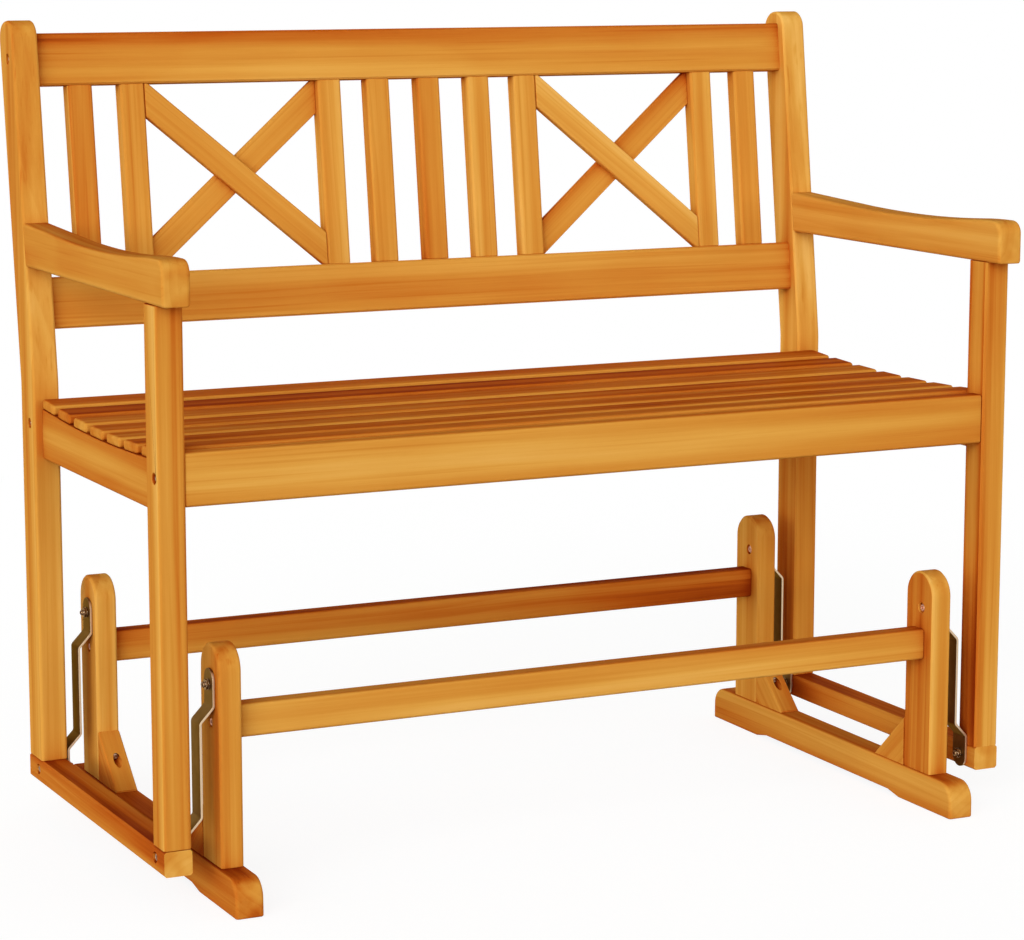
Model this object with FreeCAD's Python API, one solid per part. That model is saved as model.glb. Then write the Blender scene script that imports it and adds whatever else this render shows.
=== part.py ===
import FreeCAD, Part
import math
import os

# Glider bench: a slatted wooden seat that hangs from a low sled base on four
# joggled steel links. Lengths are in millimetres. X runs along the bench, the
# front is at -Y and Z is up. The origin lies on the floor, under the middle of
# the base. One file is written for each separate piece.

V = FreeCAD.Vector

# Driving dimensions of the bench
BENCH_WIDTH = 1000.0
LEG_WIDTH = 30.0
LEG_DEPTH = 34.0
POST_DEPTH = 45.0
BENCH_DEPTH = 445.0
FRAME_MIDDLE_Y = -2.5
FLOOR_GAP = 40.0
BOTTOM_RAIL_HEIGHT = 26.5
EDGE_EASE = 2.2
SMALL_EASE = 1.4

# Seat
SEAT_FRAME_THICKNESS = 20.5
SEAT_FRAME_SETBACK = 9.5
BEARER_BOTTOM_Z = 407.0
APRON_SETBACK = 2.5
APRON_BOTTOM_Z = 415.0
APRON_TOP_Z = 470.0
REAR_RAIL_SETBACK = 5.75
CENTRE_BEARER_LIFT = 6.0
DISH_RADIUS = 2900.0
DISH_LOW_INSET = 195.0
DISH_LOW_Z = 466.6
SEAT_SLAT_COUNT = 7
SEAT_SLAT_WIDTH = 40.0
SEAT_SLAT_THICKNESS = 11.0
SEAT_SLAT_END_GAP = 0.7

# Backrest, which leans back from the bend in the rear posts
RAKE = math.atan(0.127)
BEND_Z = 491.0
BEND_RADIUS = 60.0
BACK_LENGTH = 397.0
POST_TOP_RADIUS = 20.0
CROWN_ABOVE_RAIL = 14.8
BACK_RAIL_THICKNESS = 23.0
BACK_RAIL_SETBACK = 12.0
BACK_RAIL_HEIGHT = 57.0
LOWER_RAIL_BOTTOM = 58.6
BACK_SLAT_WIDTH = 28.5
BACK_SLAT_THICKNESS = 19.5
PAIR_GAP = 32.0
OUTER_GAP = 35.0
BRACE_WIDTH = 31.0
BRACE_CORNER_OFFSET = 12.486
TENON_LENGTH = 12.0
TENON_THICKNESS = 9.5
TENON_SHOULDER = 3.5

# Armrests, whose top dips between a shoulder and the rear post
ARM_BOTTOM_Z = 617.5
ARM_OVERHANG = 23.5
ARM_NOSE_RADIUS = 14.0
ARM_CROWN_RISE = 46.7
ARM_DIP_RISE = 39.4
ARM_REAR_RISE = 47.3
ARM_SHOULDER_INSET = 17.0
ARM_SHOULDER_RUN = 26.0
ARM_DIP_INSET = 114.0
ARM_RISE_INSET = 245.0

# Base
SIDE_GAP = 30.0
FOOT_WIDTH = 30.5
FOOT_HEIGHT = 39.5
FOOT_OVERHANG = 74.25
FOOT_NOSE_RADIUS = 21.0
PAD_LENGTH = 106.5
RELIEF_SLOPE = 23.0
RELIEF_HEIGHT = 4.5
UPRIGHT_WIDTH = 25.0
UPRIGHT_DEPTH = 54.0
UPRIGHT_HEIGHT = 230.0
UPRIGHT_SHIFT = 4.25
STRETCHER_THICKNESS = 23.5
STRETCHER_HEIGHT = 34.8
STRETCHER_RISE = 130.8
GUSSET_LENGTH = 59.0
GUSSET_HEIGHT = 56.0
GUSSET_TOE = 2.0

# Hanger links and their pivots
PIVOT_FRONT_INSET = 27.5
PIVOT_REAR_INSET = 31.0
PIVOT_RISE = 14.8
LINK_LENGTH = 173.5
LINK_WIDTH = 25.0
LINK_THICKNESS = 2.5
LINK_TOP_END = 16.5
LINK_LOW_END = 15.5
UPPER_JOG_DROP = 22.5
LOWER_JOG_RISE = 21.5
JOG_HEIGHT = 15.5
LINK_BEND_RADIUS = 4.0

# Fasteners
PIVOT_BOLT = 6.0
HEAD_DIAMETER = 10.0
HEAD_THICKNESS = 3.0
HEAD_SIDES = 12
COUNTERBORE_DIAMETER = 12.0
COUNTERBORE_DEPTH = 4.0
NUT_WIDTH = 10.0
NUT_HEIGHT = 3.4
DOME_BASE = 6.4
DOME_TOP = 3.4
DOME_HEIGHT = 3.9
SEAT_BOLT_RISE = 30.5
APRON_BOLT_INSET = 7.5
TOP_BOLT_INSET = 19.5
TOP_BOLT_RISE = 30.0
RECESS_DIAMETER = 11.0
RECESS_DEPTH = 5.0
GUSSET_HOLE_DIAMETER = 9.0
GUSSET_HOLE_DEPTH = 14.0
GUSSET_HOLE_LEAN = 16.0

# Clearances
HOLE_CLEARANCE = 0.3
LINK_CLEARANCE = 0.4
TENON_CLEARANCE = 0.2
SLAT_CLEARANCE = 0.1
CUT_MARGIN = 10.0

# Worked out from the dimensions above
HALF = BENCH_WIDTH / 2.0
LEG_FRONT_Y = FRAME_MIDDLE_Y - BENCH_DEPTH / 2.0
POST_REAR_Y = FRAME_MIDDLE_Y + BENCH_DEPTH / 2.0
POST_FRONT_Y = POST_REAR_Y - POST_DEPTH
LEG_INNER_X = HALF - LEG_WIDTH
RAIL_TOP_Z = FLOOR_GAP + BOTTOM_RAIL_HEIGHT
LEG_REAR_Y = LEG_FRONT_Y + LEG_DEPTH
BEARER_OUTER_X = HALF - SEAT_FRAME_SETBACK
BEARER_INNER_X = BEARER_OUTER_X - SEAT_FRAME_THICKNESS
APRON_FRONT_Y = LEG_FRONT_Y + APRON_SETBACK
APRON_REAR_Y = APRON_FRONT_Y + SEAT_FRAME_THICKNESS
SEAT_RAIL_FRONT_Y = POST_FRONT_Y + REAR_RAIL_SETBACK
SEAT_RAIL_REAR_Y = SEAT_RAIL_FRONT_Y + SEAT_FRAME_THICKNESS
DISH_LOW_Y = LEG_FRONT_Y + DISH_LOW_INSET
DISH_CENTRE_Z = DISH_LOW_Z + DISH_RADIUS
BEARER_RADIUS = DISH_RADIUS + SEAT_SLAT_THICKNESS
SEAT_SLAT_REAR_Y = POST_FRONT_Y - SEAT_SLAT_END_GAP
SEAT_SLAT_FRONT_Y = LEG_REAR_Y + SEAT_SLAT_END_GAP
SEAT_SLAT_PITCH = ((SEAT_SLAT_REAR_Y - SEAT_SLAT_FRONT_Y - SEAT_SLAT_WIDTH)
                   / (SEAT_SLAT_COUNT - 1))
BACK_RAIL_MIDDLE = BACK_RAIL_SETBACK + BACK_RAIL_THICKNESS / 2.0
TOP_RAIL_BOTTOM = BACK_LENGTH - CROWN_ABOVE_RAIL - BACK_RAIL_HEIGHT
LOWER_RAIL_TOP = LOWER_RAIL_BOTTOM + BACK_RAIL_HEIGHT
PANEL_MIDDLE = (LOWER_RAIL_TOP + TOP_RAIL_BOTTOM) / 2.0
PANEL_HEIGHT = TOP_RAIL_BOTTOM - LOWER_RAIL_TOP
BACK_SLAT_FRONT = BACK_RAIL_MIDDLE - BACK_SLAT_THICKNESS / 2.0
BACK_SLAT_BACK = BACK_RAIL_MIDDLE + BACK_SLAT_THICKNESS / 2.0
ARM_FRONT_Y = LEG_FRONT_Y - ARM_OVERHANG
ARM_SHOULDER_Y = LEG_FRONT_Y + ARM_SHOULDER_INSET
ARM_DIP_Y = LEG_FRONT_Y + ARM_DIP_INSET
ARM_RISE_Y = LEG_FRONT_Y + ARM_RISE_INSET
ARM_CROWN_Z = ARM_BOTTOM_Z + ARM_CROWN_RISE
ARM_DIP_Z = ARM_BOTTOM_Z + ARM_DIP_RISE
ARM_REAR_Z = ARM_BOTTOM_Z + ARM_REAR_RISE
FOOT_OUTER_X = LEG_INNER_X - SIDE_GAP
FOOT_INNER_X = FOOT_OUTER_X - FOOT_WIDTH
UPRIGHT_OUTER_X = FOOT_OUTER_X - (FOOT_WIDTH - UPRIGHT_WIDTH) / 2.0
UPRIGHT_INNER_X = UPRIGHT_OUTER_X - UPRIGHT_WIDTH
UPRIGHT_MIDDLE_X = (UPRIGHT_OUTER_X + UPRIGHT_INNER_X) / 2.0
UPRIGHT_TOP_Z = FOOT_HEIGHT + UPRIGHT_HEIGHT
STRETCHER_BOTTOM_Z = FOOT_HEIGHT + STRETCHER_RISE
STRETCHER_TOP_Z = STRETCHER_BOTTOM_Z + STRETCHER_HEIGHT
STRETCHER_MIDDLE_Z = (STRETCHER_BOTTOM_Z + STRETCHER_TOP_Z) / 2.0
PIVOT_LOWER_Z = FLOOR_GAP + PIVOT_RISE
PIVOT_UPPER_Z = PIVOT_LOWER_Z + LINK_LENGTH
PIVOT_Y = {"front": LEG_FRONT_Y + PIVOT_FRONT_INSET,
           "rear": POST_REAR_Y - PIVOT_REAR_INSET}
UPRIGHT_Y = {"front": PIVOT_Y["front"] + UPRIGHT_SHIFT,
             "rear": PIVOT_Y["rear"] + UPRIGHT_SHIFT}
FOOT_FRONT_Y = UPRIGHT_Y["front"] - FOOT_OVERHANG
FOOT_REAR_Y = UPRIGHT_Y["rear"] + FOOT_OVERHANG
LINK_UPPER_X = UPRIGHT_OUTER_X + LINK_CLEARANCE
LINK_LOWER_X = LEG_INNER_X - LINK_CLEARANCE - LINK_THICKNESS
LINK_MIDDLE_X = (LINK_UPPER_X + LINK_LOWER_X) / 2.0
INWARD = {"front": 1.0, "rear": -1.0}
SIDES = ("left", "right")
ENDS = ("front", "rear")

parts = {}


def rounded_outline(corners):
    """Closed run of edges in the YZ plane from (y, z, radius) corners."""
    ends = []
    count = len(corners)
    for i in range(count):
        y, z, radius = corners[i]
        before = corners[i - 1]
        after = corners[(i + 1) % count]
        here = V(0, y, z)
        if radius <= 0:
            ends.append((here, None, here))
            continue
        back = (V(0, before[0], before[1]) - here).normalize()
        ahead = (V(0, after[0], after[1]) - here).normalize()
        half_angle = back.getAngle(ahead) / 2.0
        run = radius / math.tan(half_angle)
        bisector = (back + ahead).normalize()
        middle = here + bisector * (radius / math.sin(half_angle) - radius)
        ends.append((here + back * run, middle, here + ahead * run))
    edges = []
    for i in range(count):
        start, middle, finish = ends[i]
        following = ends[(i + 1) % count][0]
        if middle is not None:
            edges.append(Part.Arc(start, middle, finish).toShape())
        if finish.distanceToPoint(following) > 1e-6:
            edges.append(Part.LineSegment(finish, following).toShape())
    return edges


def extrude_x(edges, x0, x1):
    """Solid between two X planes from edges drawn at X = 0."""
    face = Part.Face(Part.Wire(edges))
    face.translate(V(x0, 0, 0))
    return face.extrude(V(x1 - x0, 0, 0))


def box(x0, x1, y0, y1, z0, z1):
    return Part.makeBox(x1 - x0, y1 - y0, z1 - z0, V(x0, y0, z0))


def rod(diameter, start, finish):
    """Round rod between two points."""
    axis = finish - start
    return Part.makeCylinder(diameter / 2.0, axis.Length, start, axis)


def ease(solid, size, wanted):
    """Chamfer the edges for which wanted(edge) is true."""
    edges = [edge for edge in solid.Edges if wanted(edge)]
    return solid.makeChamfer(size, edges)


def runs_along(direction):
    """Test for straight edges that run along one axis."""
    def test(edge):
        if len(edge.Vertexes) != 2:
            return False
        step = edge.Vertexes[1].Point - edge.Vertexes[0].Point
        return step.cross(direction).Length < 1e-6 * max(step.Length, 1e-9)
    return test


def outline_above(low_z):
    """Test for the outline edges of both side faces that rise above low_z."""
    def test(edge):
        bounds = edge.BoundBox
        return bounds.XLength < 1e-6 and bounds.ZMax > low_z + 1e-3
    return test


def board(x0, x1, y0, y1, z0, z1, direction, size=EDGE_EASE):
    """Board with its long edges eased."""
    return ease(box(x0, x1, y0, y1, z0, z1), size, runs_along(direction))


def mirrored(solid):
    return solid.mirror(V(0, 0, 0), V(1, 0, 0))


def sided(solid, side):
    """Pieces are drawn for the right side, at +X."""
    return mirrored(solid) if side == "left" else solid


def back_frame(solid):
    """Place a piece drawn upright at y = 0 in the raked plane of the back.

    In the drawing X is the same, y is the depth behind the front faces of the
    posts and z is the length up the slope from the bend.
    """
    place = FreeCAD.Placement(V(0, POST_FRONT_Y, BEND_Z),
                              FreeCAD.Rotation(V(1, 0, 0), -math.degrees(RAKE)))
    copy = solid.copy()
    copy.transformShape(place.toMatrix())
    return copy


def back_point(depth, along):
    """World (y, z) of a point given in the raked plane of the back."""
    y = POST_FRONT_Y + depth * math.cos(RAKE) + along * math.sin(RAKE)
    z = BEND_Z - depth * math.sin(RAKE) + along * math.cos(RAKE)
    return y, z


def dish_z(y, radius):
    """Height of the dished seat line at y."""
    return DISH_CENTRE_Z - math.sqrt(radius ** 2 - (y - DISH_LOW_Y) ** 2)


def counterbored(solid, face, into):
    """Pivot hole with a counterbore that opens on the point face."""
    unit = V(into).normalize()
    outside = face - unit * CUT_MARGIN
    through = rod(PIVOT_BOLT + 2 * HOLE_CLEARANCE, outside,
                  face + into + unit * CUT_MARGIN)
    recess = rod(COUNTERBORE_DIAMETER, outside, face + unit * COUNTERBORE_DEPTH)
    return solid.cut(through.fuse(recess))


def recessed(solid, face, into):
    """Round recess for the head of a frame bolt, from the point face."""
    return solid.cut(rod(RECESS_DIAMETER, face - into * CUT_MARGIN,
                         face + into * RECESS_DEPTH))


def sided_ring(count, diameter, place, turn=0.0):
    """Closed outline with equal sides in a plane across X, by its corners."""
    ring = []
    for i in range(count + 1):
        angle = turn + 2.0 * math.pi * i / count
        ring.append(place + V(0, math.cos(angle), math.sin(angle)) * (diameter / 2.0))
    return Part.makePolygon(ring)


def pivot_bolt(face, into):
    """Bolt whose head sits on the floor of a counterbore at the point face."""
    unit = V(into).normalize()
    seat = face + unit * COUNTERBORE_DEPTH
    ring = sided_ring(HEAD_SIDES, HEAD_DIAMETER, seat - unit * HEAD_THICKNESS)
    head = Part.Face(ring).extrude(unit * HEAD_THICKNESS)
    return head.fuse(rod(PIVOT_BOLT, seat, face + into))


def domed_nut(face_x, sign, y, z):
    """Hexagonal nut closed by a faceted dome; sign is the way it points."""
    corners = NUT_WIDTH / math.cos(math.pi / 6.0)
    start = V(face_x, y, z)
    shoulder = start + V(sign * NUT_HEIGHT, 0, 0)
    tip = shoulder + V(sign * DOME_HEIGHT, 0, 0)
    nut = Part.Face(sided_ring(6, corners, start)).extrude(shoulder - start)
    dome = Part.makeLoft([sided_ring(6, DOME_BASE, shoulder),
                          sided_ring(6, DOME_TOP, tip)], True, True)
    return nut.fuse(dome)


def seat_bolt_point(end):
    """Bolts into the ends of the front apron and the rear seat rail."""
    if end == "front":
        y = APRON_FRONT_Y + APRON_BOLT_INSET
    else:
        y = (SEAT_RAIL_FRONT_Y + SEAT_RAIL_REAR_Y) / 2.0
    return V(HALF, y, APRON_BOTTOM_Z + SEAT_BOLT_RISE)


def top_bolt_point():
    """Bolt into the end of the top rail, on the outer face of the post."""
    y, z = back_point(TOP_BOLT_INSET, TOP_RAIL_BOTTOM + TOP_BOLT_RISE)
    return V(HALF, y, z)


def front_leg():
    leg = board(LEG_INNER_X, HALF, LEG_FRONT_Y, LEG_REAR_Y,
                RAIL_TOP_Z, ARM_BOTTOM_Z, V(0, 0, 1))
    return recessed(leg, seat_bolt_point("front"), V(-1, 0, 0))


def rear_post():
    """Vertical lower half, bent and raked upper half with a rounded top."""
    bend_shift = POST_DEPTH * math.tan(RAKE / 2.0)
    top_front = back_point(0.0, BACK_LENGTH)
    top_rear = back_point(POST_DEPTH, BACK_LENGTH)
    corners = [
        (POST_FRONT_Y, RAIL_TOP_Z, 0.0),
        (POST_REAR_Y, RAIL_TOP_Z, 0.0),
        (POST_REAR_Y, BEND_Z - bend_shift, BEND_RADIUS),
        (top_rear[0], top_rear[1], POST_TOP_RADIUS),
        (top_front[0], top_front[1], POST_TOP_RADIUS),
        (POST_FRONT_Y, BEND_Z, BEND_RADIUS + POST_DEPTH),
    ]
    post = extrude_x(rounded_outline(corners), LEG_INNER_X, HALF)
    post = ease(post, EDGE_EASE, outline_above(RAIL_TOP_Z))
    for point in (top_bolt_point(), seat_bolt_point("rear")):
        post = recessed(post, point, V(-1, 0, 0))
    return post


def bottom_rail():
    """Runner under a leg and a post, bored for both lower pivots."""
    rail = board(LEG_INNER_X, HALF, LEG_FRONT_Y, POST_REAR_Y,
                 FLOOR_GAP, RAIL_TOP_Z, V(0, 1, 0))
    for end in ENDS:
        rail = counterbored(rail, V(HALF, PIVOT_Y[end], PIVOT_LOWER_Z),
                            V(-LEG_WIDTH, 0, 0))
    return rail


def bearer(x0, x1, y0, y1, bottom_z):
    """Seat bearer with a dished top that follows the slats."""
    front = V(0, y0, dish_z(y0, BEARER_RADIUS))
    low = V(0, DISH_LOW_Y, dish_z(DISH_LOW_Y, BEARER_RADIUS))
    rear = V(0, y1, dish_z(y1, BEARER_RADIUS))
    bottom_front = V(0, y0, bottom_z)
    bottom_rear = V(0, y1, bottom_z)
    edges = [
        Part.LineSegment(bottom_front, bottom_rear).toShape(),
        Part.LineSegment(bottom_rear, rear).toShape(),
        Part.Arc(rear, low, front).toShape(),
        Part.LineSegment(front, bottom_front).toShape(),
    ]

    def bottom_edge(edge):
        bounds = edge.BoundBox
        return bounds.XLength < 1e-6 and bounds.ZMax < bottom_z + 1e-3
    return ease(extrude_x(edges, x0, x1), EDGE_EASE, bottom_edge)


def seat_cross_rail(y0, y1, z0, z1):
    return board(-LEG_INNER_X, LEG_INNER_X, y0, y1, z0, z1, V(1, 0, 0))


def seat_slat(index):
    """Slats are counted from the back and lean with the dish."""
    rear = SEAT_SLAT_REAR_Y - index * SEAT_SLAT_PITCH
    front = rear - SEAT_SLAT_WIDTH
    z_front = dish_z(front, BEARER_RADIUS)
    z_rear = dish_z(rear, BEARER_RADIUS)
    slope = math.degrees(math.atan2(z_rear - z_front, SEAT_SLAT_WIDTH))
    slat = box(-BEARER_OUTER_X, BEARER_OUTER_X, -SEAT_SLAT_WIDTH / 2.0,
               SEAT_SLAT_WIDTH / 2.0, 0.0, SEAT_SLAT_THICKNESS)
    slat = slat.makeChamfer(EDGE_EASE, slat.Edges)
    middle = V(0, (front + rear) / 2.0, (z_front + z_rear) / 2.0 + SLAT_CLEARANCE)
    place = FreeCAD.Placement(middle, FreeCAD.Rotation(V(1, 0, 0), slope))
    slat.transformShape(place.toMatrix())
    return slat


def armrest():
    """Board with a dished top, a round nose and a rear end cut to the rake."""
    heel = POST_FRONT_Y + (ARM_BOTTOM_Z - BEND_Z) * math.tan(RAKE)
    crest = POST_FRONT_Y + (ARM_REAR_Z - BEND_Z) * math.tan(RAKE)
    fall = math.atan2(ARM_CROWN_Z - ARM_DIP_Z, ARM_DIP_Y - ARM_SHOULDER_Y)
    rise = math.atan2(ARM_REAR_Z - ARM_DIP_Z, crest - ARM_RISE_Y)
    dip_run = math.hypot(ARM_DIP_Y - ARM_SHOULDER_Y,
                         ARM_CROWN_Z - ARM_DIP_Z) - ARM_SHOULDER_RUN
    rise_run = ARM_RISE_Y - ARM_DIP_Y - dip_run
    corners = [
        (heel, ARM_BOTTOM_Z, 0.0),
        (ARM_FRONT_Y, ARM_BOTTOM_Z, 0.0),
        (ARM_FRONT_Y, ARM_CROWN_Z, ARM_NOSE_RADIUS),
        (ARM_SHOULDER_Y, ARM_CROWN_Z, ARM_SHOULDER_RUN / math.tan(fall / 2.0)),
        (ARM_DIP_Y, ARM_DIP_Z, dip_run / math.tan(fall / 2.0)),
        (ARM_RISE_Y, ARM_DIP_Z, rise_run / math.tan(rise / 2.0)),
        (crest, ARM_REAR_Z, 0.0),
    ]
    arm = extrude_x(rounded_outline(corners), LEG_INNER_X, HALF)

    def all_but_rear(edge):
        bounds = edge.BoundBox
        return bounds.XLength < 1e-6 and bounds.YMin < heel - CUT_MARGIN
    return ease(arm, EDGE_EASE, all_but_rear)


def back_slat_positions():
    """Middle of each back slat, from left to right."""
    inner = BACK_SLAT_WIDTH + OUTER_GAP
    second = inner + BACK_SLAT_WIDTH + PAIR_GAP
    outer = LEG_INNER_X - OUTER_GAP - BACK_SLAT_WIDTH / 2.0
    framing = outer - BACK_SLAT_WIDTH - PAIR_GAP
    right = [inner, second, framing, outer]
    return [-x for x in reversed(right)] + [0.0] + right


def tenons(x, grow):
    """Tenons of a back slat, larger all round by grow for their mortises."""
    half = BACK_SLAT_WIDTH / 2.0 - TENON_SHOULDER + grow
    depth = TENON_THICKNESS / 2.0 + grow
    return box(x - half, x + half, BACK_RAIL_MIDDLE - depth,
               BACK_RAIL_MIDDLE + depth, LOWER_RAIL_TOP - TENON_LENGTH - grow,
               TOP_RAIL_BOTTOM + TENON_LENGTH + grow)


def back_slat(x):
    slat = board(x - BACK_SLAT_WIDTH / 2.0, x + BACK_SLAT_WIDTH / 2.0,
                 BACK_SLAT_FRONT, BACK_SLAT_BACK, LOWER_RAIL_TOP,
                 TOP_RAIL_BOTTOM, V(0, 0, 1))
    return back_frame(slat.fuse(tenons(x, 0.0)).removeSplitter())


def back_rail(bottom):
    """Cross rail of the back with a mortise for each slat."""
    rail = board(-LEG_INNER_X, LEG_INNER_X, BACK_RAIL_SETBACK,
                 BACK_RAIL_SETBACK + BACK_RAIL_THICKNESS, bottom,
                 bottom + BACK_RAIL_HEIGHT, V(1, 0, 0))
    mortises = [tenons(x, TENON_CLEARANCE) for x in back_slat_positions()]
    return back_frame(rail.cut(Part.makeCompound(mortises)))


def brace(middle_x, half_panel, falling):
    """Diagonal of a cross, cut to the slats and rails around its panel.

    The falling diagonal fills the front half of the slat thickness and the
    rising one the rear half, so that they lap where they cross.
    """
    if falling:
        y0, y1, outer_y = BACK_SLAT_FRONT, BACK_RAIL_MIDDLE, BACK_SLAT_FRONT
    else:
        y0, y1, outer_y = BACK_RAIL_MIDDLE, BACK_SLAT_BACK, BACK_SLAT_BACK
    reach = half_panel + PANEL_HEIGHT
    bar = box(-reach, reach, y0, y1, -BRACE_WIDTH / 2.0, BRACE_WIDTH / 2.0)

    def shown_edge(edge):
        return runs_along(V(1, 0, 0))(edge) and abs(edge.BoundBox.YMin - outer_y) < 1e-6
    bar = ease(bar, SMALL_EASE, shown_edge)
    lean = math.degrees(brace_angle(half_panel))
    bar.rotate(V(0, 0, 0), V(0, 1, 0), lean if falling else -lean)
    bar.translate(V(middle_x, 0, PANEL_MIDDLE))
    panel = box(middle_x - half_panel, middle_x + half_panel, y0, y1,
                LOWER_RAIL_TOP, TOP_RAIL_BOTTOM)
    return back_frame(bar.common(panel))


def brace_angle(half_panel):
    """Lean at which a brace's upper edge runs into the panel's corner."""
    corner = math.hypot(half_panel, PANEL_HEIGHT / 2.0)
    return (math.atan2(PANEL_HEIGHT / 2.0, half_panel)
            - math.asin(BRACE_CORNER_OFFSET / corner))


def foot():
    """Sled foot with a raised middle and rounded upper ends."""
    pad_front = FOOT_FRONT_Y + PAD_LENGTH
    pad_rear = FOOT_REAR_Y - PAD_LENGTH
    corners = [
        (FOOT_FRONT_Y, 0.0, 0.0),
        (pad_front, 0.0, 0.0),
        (pad_front + RELIEF_SLOPE, RELIEF_HEIGHT, 0.0),
        (pad_rear - RELIEF_SLOPE, RELIEF_HEIGHT, 0.0),
        (pad_rear, 0.0, 0.0),
        (FOOT_REAR_Y, 0.0, 0.0),
        (FOOT_REAR_Y, FOOT_HEIGHT, FOOT_NOSE_RADIUS),
        (FOOT_FRONT_Y, FOOT_HEIGHT, FOOT_NOSE_RADIUS),
    ]
    solid = extrude_x(rounded_outline(corners), FOOT_INNER_X, FOOT_OUTER_X)
    return ease(solid, EDGE_EASE, outline_above(RELIEF_HEIGHT))


def upright(end):
    """Round topped upright, bored for the pivot."""
    middle = UPRIGHT_Y[end]
    half = UPRIGHT_DEPTH / 2.0
    round_z = UPRIGHT_TOP_Z - half
    low_a = V(0, middle - half, FOOT_HEIGHT)
    low_b = V(0, middle + half, FOOT_HEIGHT)
    high_a = V(0, middle - half, round_z)
    high_b = V(0, middle + half, round_z)
    edges = [
        Part.LineSegment(low_a, low_b).toShape(),
        Part.LineSegment(low_b, high_b).toShape(),
        Part.Arc(high_b, V(0, middle, UPRIGHT_TOP_Z), high_a).toShape(),
        Part.LineSegment(high_a, low_a).toShape(),
    ]
    solid = extrude_x(edges, UPRIGHT_INNER_X, UPRIGHT_OUTER_X)
    solid = ease(solid, EDGE_EASE, outline_above(FOOT_HEIGHT))
    solid = counterbored(solid, V(UPRIGHT_INNER_X, PIVOT_Y[end], PIVOT_UPPER_Z),
                         V(UPRIGHT_WIDTH, 0, 0))
    return recessed(solid, V(UPRIGHT_OUTER_X, middle, STRETCHER_MIDDLE_Z), V(-1, 0, 0))


def stretcher(end):
    half = STRETCHER_THICKNESS / 2.0
    return board(-UPRIGHT_INNER_X, UPRIGHT_INNER_X, UPRIGHT_Y[end] - half,
                 UPRIGHT_Y[end] + half, STRETCHER_BOTTOM_Z, STRETCHER_TOP_Z,
                 V(1, 0, 0))


def gusset(end):
    """Triangular block in the corner between an upright and its foot."""
    inward = INWARD[end]
    face_y = UPRIGHT_Y[end] + inward * UPRIGHT_DEPTH / 2.0
    toe_y = face_y + inward * GUSSET_LENGTH
    toe_z = FOOT_HEIGHT + GUSSET_TOE
    peak_z = FOOT_HEIGHT + GUSSET_HEIGHT
    corners = [
        (face_y, FOOT_HEIGHT, 0.0),
        (toe_y, FOOT_HEIGHT, 0.0),
        (toe_y, toe_z, 0.0),
        (face_y, peak_z, 0.0),
    ]
    solid = extrude_x(rounded_outline(corners), UPRIGHT_INNER_X, UPRIGHT_OUTER_X)

    def slope_edge(edge):
        bounds = edge.BoundBox
        return (bounds.XLength < 1e-6 and bounds.YLength > GUSSET_TOE
                and bounds.ZLength > GUSSET_TOE)
    solid = ease(solid, SMALL_EASE, slope_edge)
    point = V(UPRIGHT_MIDDLE_X, (face_y + toe_y) / 2.0, (toe_z + peak_z) / 2.0)
    lean = math.radians(GUSSET_HOLE_LEAN)
    into = V(0, -inward * math.cos(lean), math.sin(lean))
    return solid.cut(rod(GUSSET_HOLE_DIAMETER, point - into * 2.0 * CUT_MARGIN,
                         point + into * GUSSET_HOLE_DEPTH))


def joggled_faces(path):
    """Corners of both faces of a bar bent along a path of (x, z) points.

    The path runs down the inner face, and the bar only ever bends outward and
    back to the vertical.
    """
    inner = []
    outer = []
    for before, here, after in zip(path, path[1:], path[2:]):
        lean_before = math.atan2(here[0] - before[0], before[1] - here[1])
        lean_after = math.atan2(after[0] - here[0], here[1] - after[1])
        lift = LINK_THICKNESS * math.tan((lean_before + lean_after) / 2.0)
        inner_radius = LINK_BEND_RADIUS
        outer_radius = LINK_BEND_RADIUS
        if lean_after > lean_before:
            inner_radius += LINK_THICKNESS
        else:
            outer_radius += LINK_THICKNESS
        inner.append((here[0], here[1], inner_radius))
        outer.append((here[0] + LINK_THICKNESS, here[1] + lift, outer_radius))
    return inner, outer


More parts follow.
